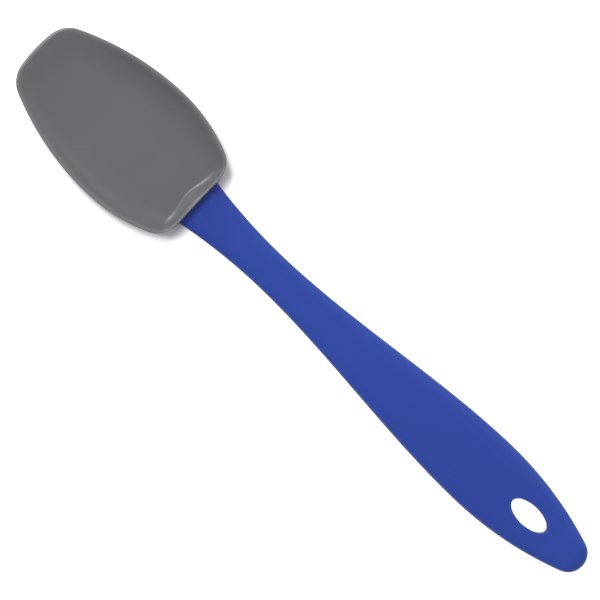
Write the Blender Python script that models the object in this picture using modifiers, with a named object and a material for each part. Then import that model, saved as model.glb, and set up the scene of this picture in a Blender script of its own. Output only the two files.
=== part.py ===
"""Silicone spoon: a soft grey head drawn over the flat tang of a one-piece blue handle.

The spoon lies face up. X runs from the head to the tail, Y to the side and Z up. The origin is at the
middle of the bounding box, on the surface that the spoon lies on. Each piece is modelled from the joint
plane, where the collar of the head ends and the visible handle begins: the head lies at X < 0 and the
handle at X > 0, with its tang inside the head.
"""
import math

import bmesh
import bpy

MM = 0.001

# Head, seen from above
HEAD_LENGTH = 75.6 * MM
HEAD_WIDTH = 46.9 * MM
WIDEST_AT = 29.0 * MM
TIP_RADIUS = 50.5 * MM
TIP_CORNER_RADIUS = 9.8 * MM
TIP_CORNER_SPAN = 11.8 * MM
SHOULDER_RADIUS = 8.65 * MM
COLLAR_BORDER = 1.26 * MM

# Head, seen from the side
COLLAR_HEIGHT = 9.2 * MM
SIDE_HEIGHT = 9.3 * MM
TIP_HEIGHT = 7.0 * MM
TIP_FLOOR_DROP = 0.6 * MM
LIP_WIDTH = 1.3 * MM
LIP_ROUND = 0.35 * MM
LIP_DEPTH = 1.0 * MM
LIP_BLEND = 1.0 * MM
SHELL_WALL = 2.0 * MM
BACK_REACH = 8.6 * MM

# Inside of the bowl: a dish that rises from its floor to the lip, and a ramp across it up to the collar
DISH_REACH = 11.0 * MM
DISH_STEEPNESS = 3.0
SIDE_PAST = 3.0 * MM
RAMP_FOOT = 6.0 * MM
CORNER_FOOT = 4.7 * MM
RAMP_TOP = 0.45 * MM
RAMP_STEEPNESS = 1.5
CORNER_STEEPNESS = 2.0

# Silicone round the tang
MOUTH_SOLE = 1.1 * MM
TANG_SOLE = 1.7 * MM
TANG_COVER = 1.25 * MM

# Raised tongue on the back of the head, which holds the tang and widens to the mouth of the socket
TONGUE_STEEPNESS = 1.7
TONGUE_EDGE = 1.0 * MM
TONGUE_BLEND = 2.0 * MM
TONGUE_RUN_OUT = 0.35
MOUTH_HUG = 0.93
MOUTH_BLEND = 10.0 * MM

# Middle lines that the rings of the bowl and of the back close on
SPINE_FROM_TIP = 15.0 * MM
BOWL_SPINE_FROM_COLLAR = 14.0 * MM
BACK_SPINE_FROM_COLLAR = 1.5 * MM
SPINE_EVENNESS = 0.1

# Handle, seen from above
HANDLE_LENGTH = 178.4 * MM
MOUTH_WIDTH = 18.8 * MM
NECK_WIDTH = 13.2 * MM
NECK_AT = 33.7 * MM
GRIP_WIDTH = 26.75 * MM
GRIP_FROM_TAIL = 46.2 * MM
TAIL_RADIUS = 6.65 * MM

# Handle, seen from the side
MOUTH_THICKNESS = 4.8 * MM
NECK_THICKNESS = 6.2 * MM
NECK_LIFT = 0.7 * MM
GRIP_THICKNESS = 8.6 * MM
GRIP_FLAT = 0.35 * MM
TAIL_THICKNESS = 6.4 * MM
TAIL_LIFT = 0.5 * MM
MOUTH_FULLNESS = 3.4
GRIP_FULLNESS = 2.9

# Hanging hole
HOLE_FROM_TAIL = 25.0 * MM
HOLE_LENGTH = 15.2 * MM
HOLE_WIDTH = 7.35 * MM

# Tang of the handle, inside the head
SEAT_DEPTH = 1.5 * MM
STEP_LENGTH = 3.0 * MM
TANG_LENGTH = 42.0 * MM
TANG_ROOT_WIDTH = 15.0 * MM
TANG_TIP_WIDTH = 11.5 * MM
TANG_ROOT_THICKNESS = 2.8 * MM
TANG_TIP_THICKNESS = 1.6 * MM
TANG_CORNER = 3.5 * MM
TANG_END_ANGLE = math.radians(70)
TANG_FULLNESS = 4.0

# Clearance between the tang and its socket, and reach of a cutter past the surface that it cuts
FIT_GAP = 0.3 * MM
CUT_PAST = 3.0 * MM
MERGE = 0.01 * MM

# Fineness of the surfaces
TIP_STEPS = 4
CORNER_STEPS = 6
SIDE_STEPS = 11
SHOULDER_STEPS = 6
COLLAR_STEPS = 5
BOWL_STEPS = 13
BOWL_CROWDING = 1.4
CURL_STEPS = 6
CURL_SHARE = 0.55
BELLY_STEPS = 2
TONGUE_STEPS = 4
TONGUE_FOOT_SHARE = 0.76
MOST_FLAT = 0.9
FLAT_STEPS = 2
SECTION_STEPS = 12
NECK_STEPS = 8
BODY_STEPS = 12
GRIP_STEPS = 7
TAIL_STEPS = 7
SEAT_STEPS = 4
TANG_STEPS = 4
TANG_END_STEPS = 4
HOLE_SIDES = 48
SHARP_ANGLE = math.radians(35)

# Finishes
SILICONE_GREY = (0.150, 0.153, 0.165, 1.0)
SILICONE_ROUGHNESS = 0.5
PLASTIC_BLUE = (0.037, 0.063, 0.347, 1.0)
PLASTIC_ROUGHNESS = 0.35
METALLIC = 0.0

# Places that follow from the sizes
JOINT_X = (HEAD_LENGTH - HANDLE_LENGTH) / 2
GRIP_AT = HANDLE_LENGTH - GRIP_FROM_TAIL
HOLE_AT = HANDLE_LENGTH - HOLE_FROM_TAIL
MOUTH_BOTTOM = MOUTH_SOLE + FIT_GAP
TANG_BOTTOM = TANG_SOLE + FIT_GAP
TANG_MIDDLE = TANG_BOTTOM + TANG_ROOT_THICKNESS / 2


def smooth(value):
    """Ease from 0 to 1 with level ends."""
    value = min(max(value, 0.0), 1.0)
    return value * value * (3 - 2 * value)


def mix(low, high, share):
    """Value at a share of the way between two others."""
    return low + (high - low) * share


def spread(start, end, steps):
    """Evenly spaced values from start up to, but without, end."""
    return [mix(start, end, step / steps) for step in range(steps)]


def eased(stations, place):
    """Height at a place along a line that is level at each (place, height) station."""
    for (start, low), (end, high) in zip(stations, stations[1:]):
        if place <= end:
            return mix(low, high, smooth((place - start) / (end - start)))
    return stations[-1][1]


def soft_min(first, second, blend):
    """Lower of two heights, with the crease between them rounded over a blend."""
    overlap = max(blend - abs(first - second), 0.0) / blend
    return min(first, second) - overlap * overlap * blend / 4


# Outline of the handle and its tang


def tail_arcs():
    """Radius of the arc of the grip, and places of the centre and the start of the arc of the tail."""
    half_grip = GRIP_WIDTH / 2
    run = GRIP_FROM_TAIL - TAIL_RADIUS
    grip_radius = (run ** 2 + half_grip ** 2 - TAIL_RADIUS ** 2) / (2 * (half_grip - TAIL_RADIUS))
    centre = HANDLE_LENGTH - TAIL_RADIUS
    start = centre + TAIL_RADIUS * (centre - GRIP_AT) / (grip_radius - TAIL_RADIUS)
    return grip_radius, centre, start


def handle_half_width(x):
    """Half width of the visible handle at a distance from the joint plane."""
    grip_radius, tail_centre, tail_start = tail_arcs()
    if x <= NECK_AT:
        return mix(NECK_WIDTH, MOUTH_WIDTH, (1 - x / NECK_AT) ** 2) / 2
    if x <= GRIP_AT:
        return mix(NECK_WIDTH, GRIP_WIDTH, smooth((x - NECK_AT) / (GRIP_AT - NECK_AT))) / 2
    if x <= tail_start:
        return GRIP_WIDTH / 2 - grip_radius + math.sqrt(grip_radius ** 2 - (x - GRIP_AT) ** 2)
    return math.sqrt(max(TAIL_RADIUS ** 2 - (x - tail_centre) ** 2, 0.0))


def tang_half_width(depth):
    """Half width of the tang at a depth inside the head, before its end is rounded."""
    return mix(TANG_ROOT_WIDTH, TANG_TIP_WIDTH, min(depth / TANG_LENGTH, 1.0)) / 2


def tang_top(depth):
    """Height of the tang's sloping upper face at a depth inside the head."""
    return TANG_BOTTOM + mix(TANG_ROOT_THICKNESS, TANG_TIP_THICKNESS, depth / TANG_LENGTH)


def visible_section(x):
    """Half width, bottom, top and fullness of the handle's section at a distance from the joint plane."""
    tail_start = tail_arcs()[2]
    places = (0, NECK_AT, GRIP_AT, tail_start)
    thicknesses = (MOUTH_THICKNESS, NECK_THICKNESS, GRIP_THICKNESS, TAIL_THICKNESS)
    bottoms = (MOUTH_BOTTOM, NECK_LIFT, -GRIP_FLAT, TAIL_LIFT)
    thickness = eased(list(zip(places, thicknesses)), x)
    bottom = eased(list(zip(places, bottoms)), x)
    fullness = eased([(0, MOUTH_FULLNESS), (GRIP_AT, GRIP_FULLNESS)], x)
    half_width = handle_half_width(x)
    if x > tail_start:
        rounding = half_width / handle_half_width(tail_start)
        middle = bottom + thickness / 2
        bottom = middle - thickness / 2 * rounding
        thickness *= rounding
    return half_width, bottom, bottom + thickness, fullness


def hidden_section(depth, grow):
    """Section inside the head: the seated end of the handle, which steps down to the tang."""
    mouth_half_width, mouth_bottom, mouth_top, mouth_fullness = visible_section(0)
    step = smooth((depth - SEAT_DEPTH) / STEP_LENGTH)
    half_width = mix(mouth_half_width, tang_half_width(depth), step) + grow
    corner = TANG_CORNER + grow
    into_corner = depth - (TANG_LENGTH - TANG_CORNER)
    if into_corner > 0:
        half_width -= corner - math.sqrt(max(corner ** 2 - into_corner ** 2, 0.0))
    bottom = mix(mouth_bottom, TANG_BOTTOM, step) - grow
    top = mix(mouth_top, tang_top(depth), step) + grow
    return half_width, bottom, top, mix(mouth_fullness, TANG_FULLNESS, step)


def half_ring(x, half_width, bottom, top, fullness):
    """Right half of a section, from the middle of its underside to the middle of its top."""
    middle = (bottom + top) / 2
    ring = []
    for step in range(SECTION_STEPS + 1):
        angle = mix(-math.pi / 2, math.pi / 2, step / SECTION_STEPS)
        across = abs(math.cos(angle)) ** (2 / fullness)
        up = math.copysign(abs(math.sin(angle)) ** (2 / fullness), angle)
        if step in (0, SECTION_STEPS):
            across = 0.0
        ring.append((x, half_width * across, max(middle + up * (top - bottom) / 2, 0.0)))
    return ring


def hidden_depths(grow):
    """Depths of the sections inside the head, from the tip of the tang outward."""
    corner = TANG_CORNER + grow
    corner_start = TANG_LENGTH - TANG_CORNER
    step_end = SEAT_DEPTH + STEP_LENGTH
    depths = [corner_start + corner * math.sin(angle) for angle in spread(TANG_END_ANGLE, 0, TANG_END_STEPS)]
    depths[0] = TANG_LENGTH + grow
    depths += spread(corner_start, step_end, TANG_STEPS)
    depths += spread(step_end, SEAT_DEPTH, SEAT_STEPS)
    return depths


def handle_rows():
    """Sections of the handle from the tip of the tang to the tail."""
    tail_centre, tail_start = tail_arcs()[1:]
    rows = [half_ring(-depth, *hidden_section(depth, 0.0)) for depth in hidden_depths(0.0) + [SEAT_DEPTH]]
    places = spread(0, NECK_AT, NECK_STEPS) + spread(NECK_AT, GRIP_AT, BODY_STEPS)
    places += spread(GRIP_AT, tail_start, GRIP_STEPS)
    tail_angle = math.acos((tail_start - tail_centre) / TAIL_RADIUS)
    places += [tail_centre + TAIL_RADIUS * math.cos(angle) for angle in spread(tail_angle, 0, TAIL_STEPS)]
    rows += [half_ring(x, *visible_section(x)) for x in places]
    rows.append(half_ring(HANDLE_LENGTH, *visible_section(HANDLE_LENGTH)))
    return rows


def socket_rows():
    """Sections of the cutter for the socket, from its blind end to past the mouth of the head."""
    rows = [half_ring(-depth, *hidden_section(depth, FIT_GAP)) for depth in hidden_depths(FIT_GAP)]
    mouth = hidden_section(0, FIT_GAP)
    rows += [half_ring(x, *mouth) for x in (-SEAT_DEPTH, CUT_PAST)]
    return rows


# Outline and heights of the head, at distances from the joint plane towards the tip


def arc(centre, radius, angles):
    """Points of an arc, each with the outward normal there."""
    normals = [(math.cos(angle), math.sin(angle)) for angle in angles]
    return [((centre[0] + radius * n[0], centre[1] + radius * n[1]), n) for n in normals]


def side_radius(centre, radius):
    """Radius of the side's arc that is level at the widest place and runs into a rounded corner."""
    along = centre[0] - WIDEST_AT
    across = HEAD_WIDTH / 2 - centre[1]
    return (along ** 2 + across ** 2 - radius ** 2) / (2 * (across - radius))


def angle_of(start, end):
    """Direction from one point to another."""
    return math.atan2(end[1] - start[1], end[0] - start[0])


def head_outline():
    """Half outline of the head, from its tip round the side to the middle of the collar, with normals."""
    tip = (HEAD_LENGTH - TIP_RADIUS, 0.0)
    corner_y = TIP_CORNER_SPAN / 2
    corner = (tip[0] + math.sqrt((TIP_RADIUS - TIP_CORNER_RADIUS) ** 2 - corner_y ** 2), corner_y)
    shoulder = (SHOULDER_RADIUS, MOUTH_WIDTH / 2 + COLLAR_BORDER)
    fore_radius = side_radius(corner, TIP_CORNER_RADIUS)
    aft_radius = side_radius(shoulder, SHOULDER_RADIUS)
    fore = (WIDEST_AT, HEAD_WIDTH / 2 - fore_radius)
    aft = (WIDEST_AT, HEAD_WIDTH / 2 - aft_radius)
    tip_angle = angle_of(tip, corner)
    fore_angle = angle_of(fore, corner)
    aft_angle = angle_of(aft, shoulder)
    outline = arc(tip, TIP_RADIUS, spread(0, tip_angle, TIP_STEPS))
    outline += arc(corner, TIP_CORNER_RADIUS, spread(tip_angle, fore_angle, CORNER_STEPS))
    outline += arc(fore, fore_radius, spread(fore_angle, math.pi / 2, SIDE_STEPS))
    outline += arc(aft, aft_radius, spread(math.pi / 2, aft_angle, SIDE_STEPS))
    outline += arc(shoulder, SHOULDER_RADIUS, spread(aft_angle, math.pi, SHOULDER_STEPS))
    outline += [((0.0, y), (-1.0, 0.0)) for y in spread(shoulder[1], 0, COLLAR_STEPS) + [0.0]]
    return outline


def spine_places(outline, from_collar):
    """Places on the middle line for the outline's points, spread as the points move along the head."""
    travelled = [0.0]
    for (start, normal), (end, _) in zip(outline, outline[1:]):
        length = math.dist(start, end)
        travelled.append(travelled[-1] + length * (SPINE_EVENNESS + normal[1] ** 2))
    from_joint = HEAD_LENGTH - SPINE_FROM_TIP
    return [mix(from_joint, from_collar, distance / travelled[-1]) for distance in travelled]


def rim_height(depth):
    """Height of the lip at a distance from the joint plane."""
    return eased([(0, COLLAR_HEIGHT), (WIDEST_AT, SIDE_HEIGHT), (HEAD_LENGTH, TIP_HEIGHT)], depth)


def cover_height(depth):
    """Height of the silicone over the tang, its line carried on past the tang's tip."""
    return tang_top(depth) + FIT_GAP + TANG_COVER


def floor_height(depth):
    """Height of the bowl's floor, which covers the tang evenly and then rises to the tip."""
    rise = TIP_HEIGHT - TIP_FLOOR_DROP - cover_height(HEAD_LENGTH)
    past_tang = max(depth - TANG_LENGTH, 0.0) / (HEAD_LENGTH - TANG_LENGTH)
    return cover_height(depth) + rise * past_tang ** 2


def bowl_height(depth, y, side):
    """Height of the bowl's inner surface, where the dish follows the side line."""
    floor, rim = floor_height(depth), rim_height(depth)
    dish = max(1 - (distance_to_line((depth, y), side) - LIP_WIDTH) / DISH_REACH, 0.0)
    to_corner = smooth(y / (MOUTH_WIDTH / 2))
    foot = mix(RAMP_FOOT, CORNER_FOOT, to_corner)
    ramp = min(max((foot - depth) / (foot - RAMP_TOP), 0.0), 1.0)
    steepness = mix(RAMP_STEEPNESS, CORNER_STEEPNESS, to_corner)
    low = (1 - dish ** DISH_STEEPNESS) * (1 - ramp ** steepness)
    return soft_min(rim - (rim - floor) * low, rim, LIP_BLEND)


def tongue_half_width(depth):
    """Half width of the flat under the tang, which widens under the seated end of the handle."""
    mouth = MOUTH_HUG * MOUTH_WIDTH / 2
    return FIT_GAP + mix(mouth, tang_half_width(depth), smooth(depth / MOUTH_BLEND))


def tongue_height(depth, y):
    """Height of the tongue under the tang: flat below it, and rising steeply beside and beyond it."""
    beside = max(abs(y) - tongue_half_width(depth), 0.0)
    beyond = max(depth - TANG_LENGTH - FIT_GAP, 0.0) * TONGUE_RUN_OUT
    return TONGUE_STEEPNESS * (math.hypot(beside, beyond, TONGUE_EDGE) - TONGUE_EDGE)


def distance_to_line(point, line):
    """Shortest distance from a point to a chain of straight stretches."""
    nearest = math.inf
    for start, end in zip(line, line[1:]):
        run = (end[0] - start[0], end[1] - start[1])
        offset = (point[0] - start[0], point[1] - start[1])
        along = (offset[0] * run[0] + offset[1] * run[1]) / (run[0] ** 2 + run[1] ** 2)
        along = min(max(along, 0.0), 1.0)
        nearest = min(nearest, math.hypot(offset[0] - along * run[0], offset[1] - along * run[1]))
    return nearest


def back_height(depth, y, side):
    """Height of the outer surface, which curls under from the side line and ends flat at the collar."""
    belly = floor_height(depth) - SHELL_WALL
    edge = rim_height(depth) - LIP_DEPTH
    left = max(1 - distance_to_line((depth, y), side) / BACK_REACH, 0.0)
    shell = belly + (edge - belly) * (1 - math.sqrt(1 - left ** 2))
    return max(soft_min(shell, tongue_height(depth, y), TONGUE_BLEND), 0.0)


def side_past_collar(outline):
    """Points of the outline up to the shoulder, and then straight on past the collar."""
    points = [point for point, _ in outline[:-COLLAR_STEPS - SHOULDER_STEPS]]
    (before_depth, before_y), (depth, y) = points[-2:]
    share = (depth + SIDE_PAST) / (before_depth - depth)
    return points + [(-SIDE_PAST, y + (y - before_y) * share)]


def bowl_rows(outline):
    """Rings of the bowl's right half, from its spine up to the lip, and over the lip to the outline."""
    spine = spine_places(outline, BOWL_SPINE_FROM_COLLAR)
    side = side_past_collar(outline)

    def lip_places(inset):
        """Places at an inset from the outline, square to it."""
        return [(depth - normal[0] * inset, y - normal[1] * inset) for (depth, y), normal in outline]

    rows = []
    for share in spread(1, 0, BOWL_STEPS):
        inward = share ** BOWL_CROWDING
        ring = []
        for (depth, y), middle in zip(lip_places(LIP_WIDTH), spine):
            place = (mix(depth, middle, inward), mix(y, 0.0, inward))
            ring.append((-place[0], place[1], bowl_height(*place, side)))
        rows.append(ring)
    chamfer = LIP_ROUND * (1 - math.cos(math.pi / 4))
    for inset, drop in ((LIP_WIDTH, 0.0), (LIP_ROUND, 0.0), (chamfer, chamfer), (0.0, LIP_ROUND)):
        places = lip_places(inset)
        rows.append([(-depth, y, bowl_height(depth, y, side) - drop) for depth, y in places])
    return rows


def back_rows(outline):
    """Rings of the back's right half, from the outline in to its spine, close together where it curves."""
    spine = spine_places(outline, BACK_SPINE_FROM_COLLAR)
    side = [point for point, _ in outline[:-COLLAR_STEPS]]
    curl = [CURL_SHARE * (1 - math.cos(angle)) for angle in spread(0, math.pi / 2, CURL_STEPS)]
    outside = curl + spread(CURL_SHARE, TONGUE_FOOT_SHARE, BELLY_STEPS)
    outside += spread(TONGUE_FOOT_SHARE, 1, TONGUE_STEPS)
    under_tang = spread(1, 0, FLAT_STEPS) + [0.0]
    rows = []
    for share, inside in [(share, 1.0) for share in outside] + [(1.0, inside) for inside in under_tang]:
        ring = []
        for ((depth, y), _), middle in zip(outline, spine):
            flat = min(tongue_half_width(depth) / max(y, MERGE), MOST_FLAT) * inside
            out = mix(1.0, flat, share)
            place = (mix(middle, depth, out), y * out)
            ring.append((-place[0], place[1], back_height(*place, side)))
        rows.append(ring)
    return rows


# Meshes, modifiers and finishes


def skin(name, rows, collection, capped_start=False, capped_end=False):
    """Half of a closed form as quads between rows of points, completed by a mirror across the middle."""
    mesh = bpy.data.meshes.new(name)
    form = bmesh.new()
    grid = [[form.verts.new(point) for point in row] for row in rows]
    for lower, upper in zip(grid, grid[1:]):
        for column in range(len(lower) - 1):
            form.faces.new((lower[column], lower[column + 1], upper[column + 1], upper[column]))
    if capped_start:
        form.faces.new(reversed(grid[0]))
    if capped_end:
        form.faces.new(grid[-1])
    bmesh.ops.remove_doubles(form, verts=form.verts, dist=MERGE)
    form.to_mesh(mesh)
    form.free()
    piece = bpy.data.objects.new(name, mesh)
    collection.objects.link(piece)
    mirror = piece.modifiers.new("other_half", "MIRROR")
    mirror.use_axis = (False, True, False)
    mirror.use_clip = True
    mirror.merge_threshold = MERGE
    return piece


def make_cutter(piece):
    """Keep a cutting form out of renders, and show it as wire."""
    piece.hide_render = True
    piece.display_type = "WIRE"
    return piece


def hole_cutter(collection):
    """Oval rod through the handle near its tail."""
    bpy.ops.mesh.primitive_cylinder_add(vertices=HOLE_SIDES)
    cutter = bpy.context.object
    cutter.name = "hanging_hole_cutter"
    cutter.scale = (HOLE_LENGTH / 2, HOLE_WIDTH / 2, GRIP_THICKNESS + CUT_PAST)
    bpy.ops.object.transform_apply(location=False, rotation=False, scale=True)
    for owner in list(cutter.users_collection):
        owner.objects.unlink(cutter)
    collection.objects.link(cutter)
    cutter.location = (HOLE_AT, 0, GRIP_THICKNESS / 2)
    return make_cutter(cutter)


def cut(piece, cutter, name):
    """Take the cutter's form out of a piece."""
    boolean = piece.modifiers.new(name, "BOOLEAN")
    boolean.operation = "DIFFERENCE"
    boolean.solver = "EXACT"
    boolean.object = cutter


def finish(piece, name, colour, roughness):
    """Smooth shading, and a material of one colour."""
    piece.data.shade_smooth()
    piece.data.set_sharp_from_angle(angle=SHARP_ANGLE)
    material = bpy.data.materials.new(name)
    material.use_nodes = True
    shader = material.node_tree.nodes["Principled BSDF"]
    shader.inputs["Base Color"].default_value = colour
    shader.inputs["Roughness"].default_value = roughness
    shader.inputs["Metallic"].default_value = METALLIC
    piece.data.materials.append(material)


def new_collection(name):
    """Collection linked into the scene."""
    collection = bpy.data.collections.new(name)
    bpy.context.scene.collection.children.link(collection)
    return collection


def new_empty(name, location, collection):
    """Empty that carries a piece."""
    empty = bpy.data.objects.new(name, None)
    empty.location = location
    collection.objects.link(empty)
    return empty


def build_handle(spoon, cutters, joint):
    """Blue handle with its tang and its hanging hole."""
    handle = skin("handle", handle_rows(), spoon, capped_start=True)
    handle.parent = joint
    cutter = hole_cutter(cutters)
    cutter.parent = joint
    cut(handle, cutter, "hanging_hole")
    finish(handle, "blue_polypropylene", PLASTIC_BLUE, PLASTIC_ROUGHNESS)


def build_head(spoon, cutters, joint, pull_axis):
    """Grey head, with the blind socket that grips the tang."""
    outline = head_outline()
    head = skin("silicone_head", bowl_rows(outline) + back_rows(outline), spoon)
    head.parent = pull_axis
    head.location = (0, 0, -TANG_MIDDLE)
    cutter = make_cutter(skin("socket_cutter", socket_rows(), cutters, capped_start=True, capped_end=True))
    cutter.parent = joint
    cut(head, cutter, "tang_socket")
    finish(head, "grey_silicone", SILICONE_GREY, SILICONE_ROUGHNESS)


def main():
    """Build the spoon from its two pieces."""
    for old in list(bpy.data.objects):
        bpy.data.objects.remove(old)
    spoon = new_collection("silicone_spoon")
    cutters = new_collection("cutters")
    joint = new_empty("joint_plane", (JOINT_X, 0, 0), spoon)
    pull_axis = new_empty("head_pull_axis", (0, 0, TANG_MIDDLE), spoon)
    pull_axis.parent = joint
    build_handle(spoon, cutters, joint)
    build_head(spoon, cutters, joint, pull_axis)
    bpy.context.view_layer.update()


main()
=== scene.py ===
"""Looks of the silicone spoon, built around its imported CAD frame.

The frame holds two solids in metres: X runs from the head to the tail, Y to the side and Z up, and the spoon
lies face up on Z = 0. This script builds a finer skin for each solid, gives both their moulded finishes, and
sets the camera, the lights and the floor.
"""
from __future__ import annotations

import logging
import math
from dataclasses import dataclass, fields, replace
from enum import Enum
from types import SimpleNamespace

import bmesh
import bpy
import numpy as np
from bpy.types import ID, Material, Mesh, NodeSocket, NodeTree, Object
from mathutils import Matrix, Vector
from mathutils.bvhtree import BVHTree


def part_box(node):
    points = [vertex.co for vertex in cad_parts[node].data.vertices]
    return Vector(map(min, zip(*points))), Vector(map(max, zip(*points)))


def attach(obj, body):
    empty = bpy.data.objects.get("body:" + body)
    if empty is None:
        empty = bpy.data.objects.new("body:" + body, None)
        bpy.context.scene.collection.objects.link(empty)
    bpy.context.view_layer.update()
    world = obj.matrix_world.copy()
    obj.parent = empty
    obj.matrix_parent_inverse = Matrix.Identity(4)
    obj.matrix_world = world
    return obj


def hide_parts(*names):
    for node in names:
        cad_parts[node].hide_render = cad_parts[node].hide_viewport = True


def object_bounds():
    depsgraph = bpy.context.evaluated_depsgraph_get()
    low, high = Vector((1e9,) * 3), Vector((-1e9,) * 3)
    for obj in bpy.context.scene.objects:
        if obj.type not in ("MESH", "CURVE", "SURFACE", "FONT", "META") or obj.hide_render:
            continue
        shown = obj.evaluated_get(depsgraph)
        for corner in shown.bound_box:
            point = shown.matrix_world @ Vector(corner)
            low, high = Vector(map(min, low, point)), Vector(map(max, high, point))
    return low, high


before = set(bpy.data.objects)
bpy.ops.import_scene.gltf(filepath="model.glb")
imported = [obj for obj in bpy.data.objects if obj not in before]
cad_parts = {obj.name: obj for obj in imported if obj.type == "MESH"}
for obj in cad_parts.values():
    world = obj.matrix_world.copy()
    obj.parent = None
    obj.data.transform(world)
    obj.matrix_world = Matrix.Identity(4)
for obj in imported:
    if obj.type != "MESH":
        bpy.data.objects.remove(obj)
cad_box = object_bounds()

Array = np.ndarray

MM = 0.001
MERGE = 0.01 * MM
SHARP_ANGLE = math.radians(55)

log = logging.getLogger("silicone_spoon")


class Body(Enum):
    """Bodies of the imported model."""

    HEAD = "head"
    HANDLE = "handle"


class Node(Enum):
    """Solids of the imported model."""

    HEAD = "silicone_head"
    HANDLE = "handle"


class Slot(Enum):
    """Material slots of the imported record."""

    SILICONE = "silicone"
    PLASTIC = "handle_plastic"


class Trait(Enum):
    """Attributes of the skins that the finishes read."""

    # Handle's section thickness, raised towards the mouth for painted shade next to the collar.
    THICKNESS = "thickness"
    # Distance from the head's outline, which the finish reads to paint light along the lip.
    LIP = "lip"


# Numbers that node trees work out


class Number:
    """A number in a node tree, with the usual signs, so that a rule reads like its formula."""

    def __init__(self, tree: NodeTree, source: NodeSocket) -> None:
        """Keep the tree and the socket that gives the number.

        Args:
            tree: Node tree that the number belongs to.
            source: Output socket that gives it.
        """
        self.tree = tree
        self.source = source

    def math(self, operation: str, *others: Number | float, clamp: bool = False) -> Number:
        """Work out a new number from this one.

        Args:
            operation: Name of the Math node's operation.
            others: The operation's further terms.
            clamp: Whether the result is kept from 0 to 1.

        Returns:
            The result.
        """
        node = self.tree.nodes.new("ShaderNodeMath")
        node.operation = operation
        node.use_clamp = clamp
        for socket, term in zip(node.inputs, (self, *others)):
            if isinstance(term, Number):
                self.tree.links.new(term.source, socket)
            else:
                socket.default_value = term
        return Number(self.tree, node.outputs[0])

    def __add__(self, other: Number | float) -> Number:
        """Sum."""
        return self.math("ADD", other)

    def __sub__(self, other: Number | float) -> Number:
        """Difference."""
        return self.math("SUBTRACT", other)

    def __rsub__(self, other: float) -> Number:
        """Difference from a plain number."""
        return self.math("MULTIPLY_ADD", -1.0, other)

    def __mul__(self, other: Number | float) -> Number:
        """Product."""
        return self.math("MULTIPLY", other)

    __rmul__ = __mul__

    def __truediv__(self, other: Number | float) -> Number:
        """Quotient."""
        return self.math("DIVIDE", other)

    def __pow__(self, other: Number | float) -> Number:
        """Power."""
        return self.math("POWER", other)

    def least(self, floor: Number | float) -> Number:
        """This number, or the floor where it is lower."""
        return self.math("MAXIMUM", floor)

    def root(self) -> Number:
        """Square root, and 0 below 0."""
        return self.least(0.0).math("SQRT")

    def eased(self) -> Number:
        """Ease from 0 to 1 with level ends."""
        share = self.math("ADD", 0.0, clamp=True)
        return share * share * (3.0 - 2.0 * share)

    def signed_power(self, power: Number) -> Number:
        """Power of the size of this number, with this number's sign."""
        return self.math("ABSOLUTE") ** power * self.math("SIGN")

    def past(self, limit: Number | float) -> Number:
        """1 where this number is over a limit, and 0 elsewhere."""
        return self.math("GREATER_THAN", limit)


def mix(low: Number, high: Number | float, share: Number) -> Number:
    """Number at a share of the way between two others.

    Args:
        low: Number at share 0.
        high: Number at share 1.
        share: Share of the way.

    Returns:
        The number there.
    """
    return low * (1.0 - share) + high * share


# Meshes


def spread(start: float, end: float, steps: int) -> list[float]:
    """Evenly spaced values from start up to, but without, end.

    Args:
        start: First value.
        end: Value that the steps lead to.
        steps: How many values to give.

    Returns:
        The values.
    """
    return [start + (end - start) * step / steps for step in range(steps)]


def ring_mesh(name: str, rings: Array, closed: bool) -> Mesh:
    """Mesh of quads between rings of points.

    Args:
        name: Name of the mesh.
        rings: Points, as rings x points x 3.
        closed: Whether each ring runs back to its first point.

    Returns:
        The mesh, its doubles not yet merged.
    """
    count, size = rings.shape[:2]
    ends = size if closed else size - 1
    faces = []
    for low in range(0, (count - 1) * size, size):
        high = low + size
        for point in range(ends):
            beside = (point + 1) % size
            faces.append((low + point, low + beside, high + beside, high + point))
    mesh = bpy.data.meshes.new(name)
    mesh.from_pydata(rings.reshape(-1, 3).tolist(), [], faces)
    return mesh


def tidy(mesh: Mesh) -> None:
    """Merge the doubles of a closed mesh, turn its faces outwards and shade it smooth.

    Args:
        mesh: Mesh to change.
    """
    form = bmesh.new()
    form.from_mesh(mesh)
    bmesh.ops.remove_doubles(form, verts=form.verts, dist=MERGE)
    bmesh.ops.dissolve_degenerate(form, edges=form.edges, dist=MERGE)
    bmesh.ops.recalc_face_normals(form, faces=form.faces)
    if form.calc_volume(signed=True) < 0:
        bmesh.ops.reverse_faces(form, faces=form.faces)
    form.to_mesh(mesh)
    form.free()
    mesh.shade_smooth()
    mesh.set_sharp_from_angle(angle=SHARP_ANGLE)


def titled(name: str) -> str:
    """Label of a node tree's input for a size."""
    return name.replace("_", " ").title()


def link(name: str, data: ID) -> Object:
    """Object in the scene for a mesh, a lamp or a camera.

    Args:
        name: Name of the object.
        data: What it shows.

    Returns:
        The object.
    """
    linked = bpy.data.objects.new(name, data)
    bpy.context.scene.collection.objects.link(linked)
    return linked


def baked(piece: Object) -> Mesh:
    """Plain mesh of a piece as its modifiers leave it. The piece itself is removed.

    Args:
        piece: Object with modifiers.

    Returns:
        The mesh.
    """
    bpy.context.view_layer.update()
    graph = bpy.context.evaluated_depsgraph_get()
    mesh = bpy.data.meshes.new_from_object(piece.evaluated_get(graph))
    bpy.data.objects.remove(piece)
    return mesh


def cut_away(mesh: Mesh, cutter: Mesh) -> Mesh:
    """Take one closed form out of another.

    Args:
        mesh: Form to cut.
        cutter: Form to take out.

    Returns:
        What is left.
    """
    piece = link("cutting", mesh)
    tool = link("cutter", cutter)
    boolean = piece.modifiers.new("cut", "BOOLEAN")
    boolean.operation = "DIFFERENCE"
    boolean.solver = "EXACT"
    boolean.object = tool
    left = baked(piece)
    bpy.data.objects.remove(tool)
    return left


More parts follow.
